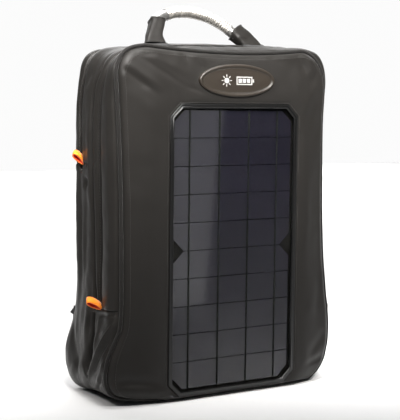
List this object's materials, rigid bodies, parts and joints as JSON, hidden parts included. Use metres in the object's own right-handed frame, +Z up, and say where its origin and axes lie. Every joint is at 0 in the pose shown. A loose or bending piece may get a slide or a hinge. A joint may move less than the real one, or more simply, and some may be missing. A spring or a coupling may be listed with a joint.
{
  "type": "solar backpack",
  "caption": "Slim laptop backpack with a framed solar panel in its hinged front cover, zipped compartments, padded back and straps, and a metal tube carry handle.",
  "frame": {"origin": "centre of the flat base, on the ground", "axes": "+X to the right seen from the front, +Y back towards the wearer, +Z up"},
  "size_m": [0.3134, 0.1474, 0.4463],
  "materials": {
    "nylon": "smooth dark nylon with a soft sheen",
    "lining": "matt polyester lining",
    "back_mesh": "spacer mesh",
    "strap_nylon": "padded nylon",
    "webbing": "woven webbing and piping",
    "stiffener": "moulded stiffener board",
    "zip": "coil zip",
    "black_plastic": "satin moulded plastic",
    "panel_glass": "clear tempered cover",
    "ribbon": "dark coated ribbon",
    "silicon": "anti-reflection coated silicon",
    "backsheet": "black backsheet",
    "battery_wrap": "shrink wrap",
    "cable": "matt sheath",
    "badge_rubber": "soft moulded rubber",
    "handle_metal": "ribbed, pale, satin",
    "collar_metal": "smooth bright",
    "slider_metal": "black plated",
    "pull_orange": "orange moulded cord"
  },
  "bodies": {
    "bag_body": {"base_tub": "nylon", "main_gusset": "nylon", "rear_gusset": "nylon", "bellows_left": "nylon", "bellows_right": "nylon", "divider": "lining", "back_panel": "lining", "back_pad_left": "back_mesh", "back_pad_right": "back_mesh", "shoulder_strap_left": "strap_nylon", "shoulder_strap_right": "strap_nylon", "strap_webbing_left": "webbing", "strap_webbing_right": "webbing", "strap_anchor_left": "webbing", "strap_anchor_right": "webbing", "handle_patch_left": "webbing", "handle_patch_right": "webbing", "base_board": "stiffener", "rear_zip_chain": "zip", "front_zip_chain_body": "zip", "ladder_lock_left": "black_plastic", "ladder_lock_right": "black_plastic"},
    "front_cover": {"front_panel": "nylon", "front_gusset": "nylon", "front_piping": "webbing", "front_zip_chain_cover": "zip", "cover_lining": "lining", "panel_bezel": "black_plastic", "panel_glass": "panel_glass", "cell_strip_01": "silicon", "cell_strip_02": "silicon", "cell_strip_03": "silicon", "cell_strip_04": "silicon", "cell_strip_05": "silicon", "cell_strip_06": "silicon", "cell_strip_07": "silicon", "cell_strip_08": "silicon", "cell_strip_09": "silicon", "cell_strip_10": "silicon", "busbar_1": "ribbon", "busbar_2": "ribbon", "busbar_3": "ribbon", "busbar_4": "ribbon", "panel_backsheet": "backsheet", "panel_board": "stiffener", "junction_box": "black_plastic", "panel_lead": "cable", "charge_controller": "black_plastic", "battery_pack": "battery_wrap", "inner_pocket": "lining", "badge": "badge_rubber"},
    "handle": {"handle_tube": "handle_metal", "handle_collar_left": "collar_metal", "handle_collar_right": "collar_metal", "handle_sleeve_left": "nylon", "handle_sleeve_right": "nylon"},
    "front_slider": {"front_slider": "slider_metal"},
    "front_pull": {"front_pull": "pull_orange"},
    "rear_slider": {"rear_slider": "slider_metal"},
    "rear_pull": {"rear_pull": "pull_orange"}
  },
  "joints": [
    {"name": "cover_hinge", "type": "hinge", "parent": "bag_body", "child": "front_cover", "pos_m": [0, -0.0699, 0.001], "axis": [1, 0, 0], "range_deg": [0, 25], "deforming": ["bellows_left", "bellows_right"]},
    {"name": "handle_hinge", "type": "hinge", "parent": "bag_body", "child": "handle", "pos_m": [0, 0.001, 0.4046], "axis": [1, 0, 0], "range_deg": [-35, 95]},
    {"name": "front_zip_slide", "type": "slide", "parent": "bag_body", "child": "front_slider", "axis": [0, 0, 1], "range_m": [0, 0.235]},
    {"name": "front_pull_hinge", "type": "hinge", "parent": "front_slider", "child": "front_pull", "pos_m": [-0.1469, -0.027, 0.108], "axis": [0, 1, 0], "range_deg": [-87, 38]},
    {"name": "rear_zip_slide", "type": "slide", "parent": "bag_body", "child": "rear_slider", "axis": [0, 0, 1], "range_m": [0, 0.084]},
    {"name": "rear_pull_hinge", "type": "hinge", "parent": "rear_slider", "child": "rear_pull", "pos_m": [-0.1469, 0.017, 0.266], "axis": [0, 1, 0], "range_deg": [-102, 23]}
  ]
}
